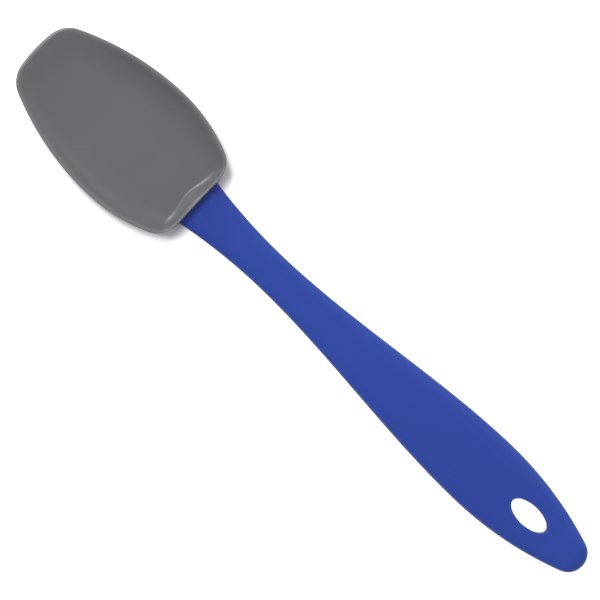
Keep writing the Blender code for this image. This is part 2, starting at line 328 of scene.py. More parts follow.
def dress(name: str, mesh: Mesh, body: Body, node: Node) -> Object:
    """Finished piece that stands for a solid of the frame.

    Args:
        name: Name of the piece.
        mesh: Its mesh, in place.
        body: Body that carries it.
        node: Solid that it stands for.

    Returns:
        The piece.
    """
    mesh.name = name
    piece = link(name, mesh)
    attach(piece, body.value)
    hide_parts(node.value)
    log.info("%s: %d faces on body %s", name, len(mesh.polygons), body.value)
    return piece


# Finishes


def moulded_surface_group() -> NodeTree:
    """Group for what every moulded surface shows: cloudy pigment, uneven gloss and the mould's fine texture.

    Returns:
        The group. Its inputs are the sizes of the three, and its outputs run from -1 to 1.
    """
    group = bpy.data.node_groups.new("moulded_surface", "ShaderNodeTree")
    details = {"Cloud": 3.0, "Gloss": 2.0, "Texture": 2.0}
    for label in details:
        group.interface.new_socket(name=f"{label} Size", in_out="INPUT", socket_type="NodeSocketFloat")
        group.interface.new_socket(name=label, in_out="OUTPUT", socket_type="NodeSocketFloat")
    given = group.nodes.new("NodeGroupInput")
    result = group.nodes.new("NodeGroupOutput")
    place = group.nodes.new("ShaderNodeTexCoord")
    for label, detail in details.items():
        noise = group.nodes.new("ShaderNodeTexNoise")
        noise.inputs["Detail"].default_value = detail
        group.links.new(place.outputs["Object"], noise.inputs["Vector"])
        scale = Number(group, given.outputs[f"{label} Size"]) ** -1.0
        group.links.new(scale.source, noise.inputs["Scale"])
        centred = Number(group, noise.outputs["Fac"]) * 2.0 - 1.0
        group.links.new(centred.source, result.inputs[label])
    return group


@dataclass(frozen=True)
class MouldedFinish:
    """Finish of one moulding, with a colour of its own where the piece is thin.

    The trait leads from the thin places' colour to the other. That colour is lighter: partly the thin body's
    own tint, and partly painted light, for light that comes through the thin plastic and light caught on the
    silicone's lip. The painted edge shade is the share of colour taken away where the surface turns away from
    the camera: painted shade at the edges. The cloud, the gloss and the texture height say how far the
    surface is uneven, and the last three sizes how coarse each of them is.
    """

    name: str
    colour: tuple[float, float, float]
    thin_tint_and_painted_light: tuple[float, float, float]
    trait: Trait
    thin_at: float
    thick_at: float
    painted_edge_shade: float
    roughness: float
    index: float
    cloud: float
    gloss: float
    texture_height: float
    cloud_size: float
    gloss_size: float
    texture_size: float

    def build(self, surface: NodeTree) -> Material:
        """Make the material.

        Args:
            surface: Shared group of the moulded surface.

        Returns:
            The material.
        """
        material = bpy.data.materials.new(self.name)
        material.use_nodes = True
        tree = material.node_tree
        shader = tree.nodes["Principled BSDF"]
        shader.inputs["IOR"].default_value = self.index
        skin = tree.nodes.new("ShaderNodeGroup")
        skin.node_tree = surface
        skin.inputs["Cloud Size"].default_value = self.cloud_size
        skin.inputs["Gloss Size"].default_value = self.gloss_size
        skin.inputs["Texture Size"].default_value = self.texture_size
        tree.links.new(self._colour(tree, skin), shader.inputs["Base Color"])
        roughness = Number(tree, skin.outputs["Gloss"]) * self.gloss + self.roughness
        tree.links.new(roughness.source, shader.inputs["Roughness"])
        bump = tree.nodes.new("ShaderNodeBump")
        bump.inputs["Distance"].default_value = self.texture_height
        tree.links.new(skin.outputs["Texture"], bump.inputs["Height"])
        tree.links.new(bump.outputs["Normal"], shader.inputs["Normal"])
        return material

    def _colour(self, tree: NodeTree, skin: bpy.types.Node) -> NodeSocket:
        """Colour over the surface.

        Args:
            tree: Tree of the material.
            skin: Node of the moulded surface's group.

        Returns:
            Socket that gives the colour.
        """
        # Painted light: the thin places' colour is lighter, partly their own tint and partly light through
        # the thin plastic and light caught on the silicone's lip.
        trait = tree.nodes.new("ShaderNodeAttribute")
        trait.attribute_name = self.trait.value
        value = Number(tree, trait.outputs["Fac"])
        share = ((value - self.thin_at) * (1.0 / (self.thick_at - self.thin_at))).eased()
        blend = tree.nodes.new("ShaderNodeMix")
        blend.data_type = "RGBA"
        for socket in blend.inputs:
            if socket.type == "RGBA":
                socket.default_value = (*(self.thin_tint_and_painted_light if socket.name == "A" else self.colour), 1.0)
        tree.links.new(share.source, blend.inputs["Factor"])
        # Painted shade: Layer Weight's facing takes colour away where the surface turns away from the camera,
        # darkening the edges.
        facing = Number(tree, tree.nodes.new("ShaderNodeLayerWeight").outputs["Facing"])
        shade = Number(tree, skin.outputs["Cloud"]) * self.cloud + (1.0 - facing ** 2.0 * self.painted_edge_shade)
        scaled = tree.nodes.new("ShaderNodeVectorMath")
        scaled.operation = "SCALE"
        mixed = next(s for s in blend.outputs if s.type == "RGBA")
        tree.links.new(mixed, scaled.inputs["Vector"])
        tree.links.new(shade.source, scaled.inputs["Scale"])
        return scaled.outputs["Vector"]


# Painted light: lighter colour within 2 mm of the outline, for light caught on the lip, partly the thin
# silicone's own tint.
SILICONE = MouldedFinish(
    name="grey_silicone", colour=(0.1188, 0.1219, 0.1310), thin_tint_and_painted_light=(0.178, 0.181, 0.190),
    trait=Trait.LIP, thin_at=0.0, thick_at=2.0 * MM, painted_edge_shade=0.0, roughness=0.30, index=1.41,
    cloud=0.035, gloss=0.024, texture_height=0.012 * MM,
    cloud_size=18 * MM, gloss_size=7 * MM, texture_size=0.22 * MM)

# Painted light and shade: lighter colour where the plastic is thin, partly its own tint and partly light
# through it; the edge shade darkens edges turned away from the camera.
PLASTIC = MouldedFinish(
    name="blue_polypropylene", colour=(0.026, 0.056, 0.342), thin_tint_and_painted_light=(0.026, 0.070, 0.378),
    trait=Trait.THICKNESS, thin_at=4.0 * MM, thick_at=8.6 * MM, painted_edge_shade=0.8, roughness=0.34, index=1.28,
    cloud=0.02, gloss=0.04, texture_height=0.008 * MM,
    cloud_size=26 * MM, gloss_size=9 * MM, texture_size=0.30 * MM)


# Handle

# Fineness of the handle's skin
SECTION_STEPS = 88
BODY_STEPS = 210
TAIL_STEPS = 26
TANG_STEPS = 24
TANG_END_STEPS = 8
TANG_END_ANGLE = math.radians(82)
STEP_STEPS = 14
SEAT_STEPS = 3
EDGE_STEPS = 6
HOLE_STEPS = 128

# Inset that draws a ring in to one point, and details of the tang, the socket and the hanging hole
CLOSED = 1.0
TANG_EDGE = 0.35 * MM
MOUTH_ROUND = 0.25 * MM
HOLE_FROM_TAIL = 25.0 * MM
HOLE_LENGTH = 15.2 * MM
HOLE_WIDTH = 7.35 * MM
HOLE_ROUND = 0.45 * MM

# How the hole's form goes on past the handle's faces: its flare, in roundings of the rim, and its ends
FLARE_OUT = 1.4
FLARE_UP = 0.4
HOLE_REACH = 20.0 * MM
RAY_START = 50.0 * MM


@dataclass
class Handle:
    """One-piece handle: its tang, its neck, its grip and its round tail.

    Places along it are distances from the joint plane, where the head's collar ends. They are under 0 inside
    the head. Each size is also an input of the node tree. Grow is how far the form is grown on every side.
    """

    joint_x: float
    length: float
    grip_width: float
    mouth_width: float = 18.8 * MM
    neck_width: float = 13.2 * MM
    neck_at: float = 33.7 * MM
    grip_from_tail: float = 46.2 * MM
    tail_radius: float = 6.65 * MM
    mouth_thickness: float = 4.8 * MM
    neck_thickness: float = 6.2 * MM
    grip_thickness: float = 8.6 * MM
    tail_thickness: float = 6.4 * MM
    mouth_bottom: float = 1.4 * MM
    neck_lift: float = 0.7 * MM
    grip_flat: float = 0.35 * MM
    tail_lift: float = 0.5 * MM
    mouth_fullness: float = 3.4
    grip_fullness: float = 3.4
    # How far the thickness that the colour reads is raised at the mouth: painted shade next to the collar.
    mouth_shade: float = 8.0 * MM
    seat_depth: float = 1.5 * MM
    step_length: float = 3.0 * MM
    tang_length: float = 42.0 * MM
    tang_root_width: float = 15.0 * MM
    tang_tip_width: float = 11.5 * MM
    tang_root_thickness: float = 2.8 * MM
    tang_tip_thickness: float = 1.6 * MM
    tang_bottom: float = 2.0 * MM
    tang_corner: float = 3.5 * MM
    tang_fullness: float = 4.0
    grow: float = 0.0

    @classmethod
    def from_frame(cls) -> Handle:
        """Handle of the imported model's own length, width and place.

        Returns:
            The handle.
        """
        joint_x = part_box(Node.HEAD.value)[1].x
        low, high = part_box(Node.HANDLE.value)
        return cls(joint_x=joint_x, length=high.x - joint_x, grip_width=high.y - low.y)

    def rule(self) -> NodeTree:
        """Node tree that wraps a flat net into the handle's form.

        A point of the net holds its place along the handle, its angle round the section and how far it lies
        inside the section's outline. The tree gives each point its place, and keeps the section's thickness
        there as an attribute. Towards the mouth that value is raised, so the plastic's colour is darker next
        to
        the collar: painted shade.

        Returns:
            The tree, with one named input for each size.
        """
        tree = bpy.data.node_groups.new("handle_rule", "GeometryNodeTree")
        tree.interface.new_socket(name="Net", in_out="INPUT", socket_type="NodeSocketGeometry")
        for field in fields(self):
            tree.interface.new_socket(name=titled(field.name), in_out="INPUT", socket_type="NodeSocketFloat")
        tree.interface.new_socket(name="Material", in_out="INPUT", socket_type="NodeSocketMaterial")
        tree.interface.new_socket(name="Skin", in_out="OUTPUT", socket_type="NodeSocketGeometry")
        given = tree.nodes.new("NodeGroupInput")
        size = SimpleNamespace(**{field.name: Number(tree, given.outputs[titled(field.name)])
                                  for field in fields(self)})
        where = tree.nodes.new("ShaderNodeSeparateXYZ")
        tree.links.new(tree.nodes.new("GeometryNodeInputPosition").outputs[0], where.inputs[0])
        x, angle, inset = (Number(tree, socket) for socket in where.outputs)
        half_width, middle, half_height, fullness = self._section(size, x)
        drawn_in = inset - size.grow
        half_width = (half_width - drawn_in).least(0.0)
        half_height = (half_height - drawn_in).least(0.0)
        power = 2.0 * fullness ** -1.0
        across = angle.math("COSINE").signed_power(power)
        up = angle.math("SINE").signed_power(power)
        wrapped = tree.nodes.new("ShaderNodeCombineXYZ")
        place = (x + size.joint_x, half_width * across, (middle + half_height * up).least(0.0))
        for socket, number in zip(wrapped.inputs, place):
            tree.links.new(number.source, socket)
        to_neck = (1.0 - x / size.neck_at).least(0.0)
        # Raised towards the mouth by the mouth shade, so the colour is darker next to the collar: painted
        # shade.
        thickness = 2.0 * half_height * up.math("ABSOLUTE") + size.mouth_shade * to_neck ** 2.0
        self._finish_tree(tree, given, thickness, wrapped)
        return tree

    @staticmethod
    def _section(size: SimpleNamespace, x: Number) -> tuple[Number, Number, Number, Number]:
        """Section of the handle at a place along it.

        Args:
            size: The tree's sizes.
            x: Distance from the joint plane.

        Returns:
            Half width, height of the middle, half height and fullness.
        """
        half_grip = size.grip_width * 0.5
        radius = size.tail_radius
        run = size.grip_from_tail - radius
        grip_radius = (run ** 2.0 + half_grip ** 2.0 - radius ** 2.0) / (2.0 * (half_grip - radius))
        tail_centre = size.length - radius
        grip_at = size.length - size.grip_from_tail
        tail_start = tail_centre + radius * (tail_centre - grip_at) / (grip_radius - radius)
        outside = x.least(0.0)

        def eased_between(start: Number, end: Number) -> Number:
            """Ease from 0 to 1 between two places."""
            return ((outside - start) / (end - start)).eased()

        def along(mouth: Number, neck: Number, grip: Number, tail: Number) -> Number:
            """Value that eases from one station of the handle to the next."""
            value = mouth + (neck - mouth) * (outside / size.neck_at).eased()
            value = value + (grip - neck) * eased_between(size.neck_at, grip_at)
            return value + (tail - grip) * eased_between(grip_at, tail_start)

        flare = (1.0 - outside / size.neck_at) ** 2.0
        mouth = mix(size.neck_width, size.mouth_width, flare) * 0.5
        body = mix(size.neck_width, size.grip_width, eased_between(size.neck_at, grip_at)) * 0.5
        grip = half_grip - grip_radius + (grip_radius ** 2.0 - (outside - grip_at) ** 2.0).root()
        tail = (radius ** 2.0 - (outside - tail_centre) ** 2.0).root()
        half_width = mix(mouth, body, outside.past(size.neck_at))
        half_width = mix(half_width, grip, outside.past(grip_at))
        half_width = mix(half_width, tail, outside.past(tail_start))
        thickness = along(size.mouth_thickness, size.neck_thickness, size.grip_thickness, size.tail_thickness)
        bottom = along(size.mouth_bottom, size.neck_lift, size.grip_flat * -1.0, size.tail_lift)
        middle = bottom + thickness * 0.5
        rounding = tail / (radius ** 2.0 - (tail_start - tail_centre) ** 2.0).root()
        thickness = mix(thickness, thickness * rounding, outside.past(tail_start))
        fullness = mix(size.mouth_fullness, size.grip_fullness, (outside / grip_at).eased())

        depth = (x * -1.0).least(0.0)
        step = ((depth - size.seat_depth) / size.step_length).eased()
        share = (depth / size.tang_length).math("MINIMUM", 1.0)
        tang_width = mix(size.tang_root_width, size.tang_tip_width, share) * 0.5
        tang_thickness = mix(size.tang_root_thickness, size.tang_tip_thickness, depth / size.tang_length)
        corner = size.tang_corner + size.grow
        into = (depth - size.tang_length + size.tang_corner).least(0.0)
        tang_width = tang_width - (corner - (corner ** 2.0 - into ** 2.0).root())
        half_width = mix(half_width, tang_width, step)
        middle = mix(middle, size.tang_bottom + tang_thickness * 0.5, step)
        half_height = mix(thickness, tang_thickness, step) * 0.5
        return half_width, middle, half_height, mix(fullness, size.tang_fullness, step)

    @staticmethod
    def _finish_tree(tree: NodeTree, given: bpy.types.Node, thickness: Number,
                     wrapped: bpy.types.Node) -> None:
        """Close the tree: place the points, keep the thickness, realize and give the material.

        Args:
            tree: The tree.
            given: Its input node.
            thickness: Thickness of the section at each point, raised towards the mouth for the painted shade.
            wrapped: Node that gives each point's place.
        """
        kinds = ("StoreNamedAttribute", "SetPosition", "MergeByDistance", "RealizeInstances", "SetMaterial")
        chain = [tree.nodes.new(f"GeometryNode{kind}") for kind in kinds]
        keep, move, merge, _, paint = chain
        keep.inputs["Name"].default_value = Trait.THICKNESS.value
        merge.inputs["Distance"].default_value = MERGE
        tree.links.new(thickness.source, keep.inputs["Value"])
        tree.links.new(wrapped.outputs[0], move.inputs["Position"])
        tree.links.new(given.outputs["Material"], paint.inputs["Material"])
        source = given.outputs["Net"]
        for node in chain:
            tree.links.new(source, node.inputs["Geometry"])
            source = node.outputs["Geometry"]
        tree.links.new(source, tree.nodes.new("NodeGroupOutput").inputs["Skin"])

    def wrap(self, name: str, rows: list[tuple[float, float]], material: Material) -> Mesh:
        """Mesh of the handle's form over a stretch of its length.

        Args:
            name: Name of the mesh.
            rows: Place along the handle and inset of each ring.
            material: Material of the mesh.

        Returns:
            The closed mesh.
        """
        angles = np.linspace(-math.pi / 2, 3 * math.pi / 2, SECTION_STEPS + 1)
        net = np.array([[(x, angle, inset) for angle in angles] for x, inset in rows])
        piece = link(name, ring_mesh(name, net, closed=False))
        modifier = piece.modifiers.new("rule", "NODES")
        modifier.node_group = self.rule()
        given = {titled(field.name): getattr(self, field.name) for field in fields(self)}
        given["Material"] = material
        for socket in modifier.node_group.interface.items_tree:
            if socket.name in given:
                modifier[socket.identifier] = given[socket.name]
        mesh = baked(piece)
        tidy(mesh)
        return mesh

    def tang_rows(self) -> list[tuple[float, float]]:
        """Rows inside the head, from the middle of the tang's tip to its seat.

        Returns:
            Place and inset of each row.
        """
        tip = self.tang_length + self.grow
        rows = [(-tip, CLOSED)]
        for turn in spread(0, math.pi / 2, EDGE_STEPS):
            rows.append((-tip + TANG_EDGE * (1 - math.cos(turn)), TANG_EDGE * (1 - math.sin(turn))))
        corner_start = self.tang_length - self.tang_corner
        for turn in spread(TANG_END_ANGLE, 0, TANG_END_STEPS):
            rows.append((-(corner_start + (self.tang_corner + self.grow) * math.sin(turn)), 0.0))
        step_end = self.seat_depth + self.step_length
        places = spread(-corner_start, -step_end, TANG_STEPS)
        places += spread(-step_end, -self.seat_depth, STEP_STEPS) + spread(-self.seat_depth, 0, SEAT_STEPS)
        return rows + [(place, 0.0) for place in places]

    def body_rows(self) -> list[tuple[float, float]]:
        """Rows of the visible handle, from the joint plane to the tail.

        Returns:
            Place and inset of each row.
        """
        half_grip, radius = self.grip_width / 2, self.tail_radius
        run = self.grip_from_tail - radius
        grip_radius = (run ** 2 + half_grip ** 2 - radius ** 2) / (2 * (half_grip - radius))
        centre = self.length - radius
        share = run / (grip_radius - radius)
        places = spread(0, centre + radius * share, BODY_STEPS)
        places += [centre + radius * math.cos(turn) for turn in spread(math.acos(share), 0, TAIL_STEPS)]
        return [(place, 0.0) for place in [*places, self.length]]

    def socket(self, gap: float, past: float, material: Material) -> Mesh:
        """Form of the socket that the tang sits in: the tang grown by the gap, and flared at the mouth.

        Args:
            gap: Clearance on every side.
            past: How far the form reaches out of the head.
            material: Material of the socket's walls.

        Returns:
            The closed mesh.
        """
        grown = replace(self, grow=gap)
        rows = [row for row in grown.tang_rows() if row[0] < -MOUTH_ROUND]
        for turn in spread(0, math.pi / 2, EDGE_STEPS):
            rows.append((-MOUTH_ROUND * math.cos(turn), -MOUTH_ROUND * (1 - math.cos(turn))))
        rows += [(0.0, -MOUTH_ROUND), (past, -MOUTH_ROUND), (past, CLOSED)]
        return grown.wrap("socket", rows, material)

    def hole(self, mesh: Mesh) -> Mesh:
        """Form of the oval hanging hole, flared where it meets both faces.

        Args:
            mesh: The handle, not yet cut.

        Returns:
            The closed mesh.
        """
        form = bmesh.new()
        form.from_mesh(mesh)
        tree = BVHTree.FromBMesh(form)
        form.free()
        centre = Vector((self.joint_x + self.length - HOLE_FROM_TAIL, 0.0, 0.0))
        rings: list[list[tuple[float, float, float]]] = []
        for side in (1, -1):
            edge = []
            for turn in spread(0, 2 * math.pi, HOLE_STEPS):
                cos, sin = math.cos(turn), math.sin(turn)
                rim = centre + Vector((HOLE_LENGTH / 2 * cos, HOLE_WIDTH / 2 * sin, 0.0))
                out = Vector((cos / HOLE_LENGTH, sin / HOLE_WIDTH, 0.0)).normalized()
                at = rim + out * HOLE_ROUND
                hit = tree.ray_cast(Vector((at.x, at.y, side * RAY_START)), Vector((0, 0, -side)))[0]
                edge.append((rim, out, hit.z))
            stack = []
            for bend in [*spread(0, math.pi / 2, EDGE_STEPS), math.pi / 2]:
                stack.append([(*(rim + out * HOLE_ROUND * (1 - math.cos(bend))).xy,
                               z - side * HOLE_ROUND * (1 - math.sin(bend))) for rim, out, z in edge])
            past = [(*(rim + out * HOLE_ROUND * FLARE_OUT).xy, z + side * HOLE_ROUND * FLARE_UP)
                    for rim, out, z in edge]
            far = [(x, y, side * HOLE_REACH) for x, y, _ in past]
            stack += [past, far, [(centre.x, 0.0, side * HOLE_REACH)] * HOLE_STEPS]
            rings = rings + stack if side == 1 else stack[::-1] + rings
        cutter = ring_mesh("hanging_hole", np.array(rings), closed=True)
        tidy(cutter)
        return cutter

    def build(self, material: Material) -> Object:
        """Build the handle's skin and put it in the scene.

        Args:
            material: Its finish.

        Returns:
            The piece.
        """
        whole = self.wrap("handle_skin", self.tang_rows() + self.body_rows(), material)
        drilled = cut_away(whole, self.hole(whole))
        tidy(drilled)
        return dress("handle_skin", drilled, Body.HANDLE, Node.HANDLE)


# Head

# Fineness of the head's skin, and how its rings are spaced
TIP_STEPS = 12
CORNER_STEPS = 18
SIDE_STEPS = 40
SHOULDER_STEPS = 22
COLLAR_STEPS = 18
SIDE_PAST = 3.0 * MM
BOWL_STEPS = 52
CROWDING = 1.4
LIP_STEPS = 4
ROUND_STEPS = 7
CURL_STEPS = 12
CURL_SHARE = 0.55
BELLY_STEPS = 7
TONGUE_STEPS = 16
TONGUE_FOOT_SHARE = 0.76
MOST_FLAT = 0.9
FLAT_STEPS = 6
FLAT_PASSES = 6


def smooth(share: Array) -> Array:
    """Ease from 0 to 1 with level ends."""
    share = np.clip(share, 0.0, 1.0)
    return share * share * (3 - 2 * share)


def soft_min(first: Array, second: Array, blend: float) -> Array:
    """Lower of two heights, with the crease between them rounded.

    Args:
        first: One height at each point.
        second: The other height there.
        blend: Difference in height over which the crease is rounded.

    Returns:
        The heights.
    """
    overlap = np.maximum(blend - np.abs(first - second), 0.0) / blend
    return np.minimum(first, second) - overlap * overlap * blend / 4


def distance_to_line(points: Array, line: Array) -> Array:
    """Shortest distance from each point to a chain of straight stretches.

    Args:
        points: Points, as any shape x 2.
        line: Corners of the chain, as corners x 2.

    Returns:
        The distances.
    """
    nearest = np.full(points.shape[:-1], np.inf)
    for start, end in zip(line[:-1], line[1:]):
        run = end - start
        along = np.clip(((points - start) @ run) / (run @ run), 0.0, 1.0)
        gap = points - start - along[..., None] * run
        nearest = np.minimum(nearest, np.hypot(gap[..., 0], gap[..., 1]))
    return nearest


@dataclass
class SiliconeHead:
    """Soft head: the bowl with its lip, the collar at the handle, and the tongue that wraps the tang.

    Depths are distances from the joint plane towards the tip. The head is worked out for its right half, in
    rings of points that run from the tip round the side to the middle of the collar.
    """

    handle: Handle
    joint_x: float
    length: float
    width: float
    side_height: float
    widest_at: float = 29.0 * MM
    tip_radius: float = 50.5 * MM
    tip_corner_radius: float = 9.8 * MM
    tip_corner_span: float = 11.8 * MM
    shoulder_radius: float = 8.65 * MM
    collar_border: float = 1.26 * MM
    collar_height: float = 9.2 * MM
    tip_height: float = 7.0 * MM
    tip_floor_drop: float = 0.6 * MM
    lip_width: float = 1.3 * MM
    side_round: float = 0.40 * MM
    collar_round: float = 0.45 * MM
    tip_round: float = 1.10 * MM
    lip_blend: float = 1.0 * MM
    lip_depth: float = 1.0 * MM
    shell_wall: float = 2.0 * MM
    dish_reach: float = 11.0 * MM
    aft_dish_reach: float = 8.5 * MM
    dish_steepness: float = 3.0
    ramp_foot: float = 5.0 * MM
    corner_foot: float = 4.4 * MM
    ramp_top: float = 0.45 * MM
    ramp_steepness: float = 1.15
    corner_steepness: float = 2.4
    back_slope: float = 8.6 * MM
    fit_gap: float = 0.3 * MM
    tang_cover: float = 1.25 * MM
    tongue_steepness: float = 1.7
    tongue_edge: float = 1.0 * MM
    tongue_blend: float = 2.0 * MM
    tongue_run_out: float = 0.35
    mouth_hug: float = 0.93
    mouth_blend: float = 10.0 * MM
    spine_from_tip: float = 15.0 * MM
    bowl_spine_from_collar: float = 14.0 * MM
    back_spine_from_collar: float = 1.5 * MM
    spine_evenness: float = 0.1

    @classmethod
    def from_frame(cls, handle: Handle) -> SiliconeHead:
        """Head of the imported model's own length, width, height and place.

        Args:
            handle: Handle that the head sits on.

        Returns:
            The head.
        """
        low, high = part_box(Node.HEAD.value)
        return cls(handle=handle, joint_x=high.x, length=high.x - low.x, width=high.y - low.y,
                   side_height=high.z)

    def outline(self) -> tuple[Array, Array]:
        """Half outline from the tip to the middle of the collar.

        Returns:
            Points and outward normals, each as points x 2.
        """
        tip = (self.length - self.tip_radius, 0.0)
        corner_y = self.tip_corner_span / 2
        reach = self.tip_radius - self.tip_corner_radius
        corner = (tip[0] + math.sqrt(reach ** 2 - corner_y ** 2), corner_y)
        shoulder = (self.shoulder_radius, self.handle.mouth_width / 2 + self.collar_border)
        fore_radius = self._side_radius(corner, self.tip_corner_radius)
        aft_radius = self._side_radius(shoulder, self.shoulder_radius)
        fore = (self.widest_at, self.width / 2 - fore_radius)
        aft = (self.widest_at, self.width / 2 - aft_radius)
        tip_angle = math.atan2(corner[1] - tip[1], corner[0] - tip[0])
        fore_angle = math.atan2(corner[1] - fore[1], corner[0] - fore[0])
        aft_angle = math.atan2(shoulder[1] - aft[1], shoulder[0] - aft[0])
        points: list[tuple[float, float]] = []
        normals: list[tuple[float, float]] = []
        arcs = ((tip, self.tip_radius, 0.0, tip_angle, TIP_STEPS),
                (corner, self.tip_corner_radius, tip_angle, fore_angle, CORNER_STEPS),
                (fore, fore_radius, fore_angle, math.pi / 2, SIDE_STEPS),
                (aft, aft_radius, math.pi / 2, aft_angle, SIDE_STEPS),
                (shoulder, self.shoulder_radius, aft_angle, math.pi, SHOULDER_STEPS))
        for centre, radius, start, end, steps in arcs:
            for turn in spread(start, end, steps):
                normals.append((math.cos(turn), math.sin(turn)))
                points.append((centre[0] + radius * normals[-1][0], centre[1] + radius * normals[-1][1]))
        for y in [*spread(shoulder[1], 0.0, COLLAR_STEPS), 0.0]:
            points.append((0.0, y))
            normals.append((-1.0, 0.0))
        return np.array(points), np.array(normals)

    def _side_radius(self, centre: tuple[float, float], radius: float) -> float:
        """Radius of the side's arc that is level at the widest place and runs into a corner.

        Args:
            centre: Centre of the corner's arc.
            radius: Radius of the corner's arc.

        Returns:
            The radius.
        """
        along = centre[0] - self.widest_at
        across = self.width / 2 - centre[1]
        return (along ** 2 + across ** 2 - radius ** 2) / (2 * (across - radius))

    def side_past_collar(self, points: Array) -> Array:
        """Outline up to the shoulder, and then straight on past the collar.

        Args:
            points: Points of the outline.

        Returns:
            Points of the line.
        """
        side = points[:len(points) - COLLAR_STEPS - SHOULDER_STEPS]
        run = side[-1] - side[-2]
        past = side[-1] + run * (side[-1, 0] + SIDE_PAST) / -run[0]
        return np.vstack([side, past])

    def spine(self, points: Array, normals: Array, from_collar: float) -> Array:
        """Depths on the middle line that the outline's points lead to.

        Args:
            points: Points of the outline.
            normals: Normals there.
            from_collar: Depth where the line ends.

        Returns:
            One depth for each point.
        """
        lengths = np.hypot(*np.diff(points, axis=0).T) * (self.spine_evenness + normals[:-1, 1] ** 2)
        travelled = np.concatenate([[0.0], np.cumsum(lengths)])
        start = self.length - self.spine_from_tip
        return start + (from_collar - start) * travelled / travelled[-1]

    def rim(self, depth: Array) -> Array:
        """Height of the lip at each depth."""
        before = smooth(depth / self.widest_at)
        beyond = smooth((depth - self.widest_at) / (self.length - self.widest_at))
        height = self.collar_height + (self.side_height - self.collar_height) * before
        return height + (self.tip_height - self.side_height) * beyond

    def cover(self, depth: Array) -> Array:
        """Height of the silicone over the tang, carried on past its tip."""
        root, tip = self.handle.tang_root_thickness, self.handle.tang_tip_thickness
        top = self.handle.tang_bottom + root + (tip - root) * depth / self.handle.tang_length
        return top + self.fit_gap + self.tang_cover

    def floor(self, depth: Array) -> Array:
        """Height of the bowl's floor, which rises past the tang to the tip."""
        tang = self.handle.tang_length
        rise = self.tip_height - self.tip_floor_drop - self.cover(self.length)
        return self.cover(depth) + rise * (np.maximum(depth - tang, 0.0) / (self.length - tang)) ** 2

    def bowl(self, depth: Array, y: Array, side: Array) -> Array:
        """Height of the inner surface: a dish that rises to the lip, and a ramp across it up to the collar.

        Args:
            depth: Depth of each point.
            y: Its distance from the middle line.
            side: Points of the side line that the dish follows.

        Returns:
            The heights.
        """
        floor, rim = self.floor(depth), self.rim(depth)
        inset = distance_to_line(np.stack([depth, y], axis=-1), side) - self.lip_width
        reach = self.aft_dish_reach + (self.dish_reach - self.aft_dish_reach) * smooth(depth / self.widest_at)
        dish = np.maximum(1 - inset / reach, 0.0)
        to_corner = smooth(np.abs(y) / (self.handle.mouth_width / 2))
        foot = self.ramp_foot + (self.corner_foot - self.ramp_foot) * to_corner
        ramp = np.clip((foot - depth) / (foot - self.ramp_top), 0.0, 1.0)
        steepness = self.ramp_steepness + (self.corner_steepness - self.ramp_steepness) * to_corner
        low = (1 - dish ** self.dish_steepness) * (1 - ramp ** steepness)
        return soft_min(rim - (rim - floor) * low, rim, self.lip_blend)

    def back(self, depth: Array, y: Array, side: Array) -> Array:
        """Height of the outer surface, with the tongue under the tang.

        Args:
            depth: Depth of each point.
            y: Its distance from the middle line.
            side: Points of the outline without its collar.

        Returns:
            The heights.
        """
        belly = self.floor(depth) - self.shell_wall
        edge = self.rim(depth) - self.lip_depth
        away = distance_to_line(np.stack([depth, y], axis=-1), side)
        left = np.maximum(1 - away / self.back_slope, 0.0)
        shell = belly + (edge - belly) * (1 - np.sqrt(1 - left ** 2))
        beside = np.maximum(np.abs(y) - self.tongue_half_width(depth), 0.0)
        beyond = np.maximum(depth - self.handle.tang_length - self.fit_gap, 0.0) * self.tongue_run_out
        off = np.sqrt(beside ** 2 + beyond ** 2 + self.tongue_edge ** 2) - self.tongue_edge
        return np.maximum(soft_min(shell, self.tongue_steepness * off, self.tongue_blend), 0.0)

    def tongue_half_width(self, depth: Array) -> Array:
        """Half width of the flat under the tang at each depth."""
        mouth = self.mouth_hug * self.handle.mouth_width / 2
        root, tip = self.handle.tang_root_width, self.handle.tang_tip_width
        tang = (root + (tip - root) * np.minimum(depth / self.handle.tang_length, 1.0)) / 2
        return self.fit_gap + mouth + (tang - mouth) * smooth(depth / self.mouth_blend)

    def bowl_rings(self, points: Array, normals: Array) -> list[Array]:
        """Rings of the bowl from its spine up the slope and over the lip.

        Args:
            points: Points of the outline.
            normals: Normals there.

        Returns:
            The rings, each as points x 4: depth, side, height and distance from the outline.
        """
        spine = self.spine(points, normals, self.bowl_spine_from_collar)
        side = self.side_past_collar(points)
        end = np.where(normals[:, 0] > 0, self.tip_round, self.collar_round)
        rounding = self.side_round + (end - self.side_round) * normals[:, 0] ** 2
        lip = points - normals * self.lip_width

        def ring(at: Array) -> Array:
            """Ring on the surface over places in the plan."""
            away = np.hypot(*(points - at).T)
            return np.stack([at[:, 0], at[:, 1], self.bowl(at[:, 0], at[:, 1], side), away], axis=-1)

        inner = np.stack([spine, np.zeros_like(spine)], axis=-1)
        rings = [ring(lip + (inner - lip) * share ** CROWDING) for share in spread(1, 0, BOWL_STEPS)]
        for share in spread(0, 1, LIP_STEPS):
            rings.append(ring(lip + normals * ((self.lip_width - rounding) * share)[:, None]))
        for turn in [*spread(0, math.pi / 2, ROUND_STEPS), math.pi / 2]:
            edge = ring(points - normals * (rounding * (1 - math.sin(turn)))[:, None])
            edge[:, 2] -= rounding * (1 - math.cos(turn))
            rings.append(edge)
        return rings

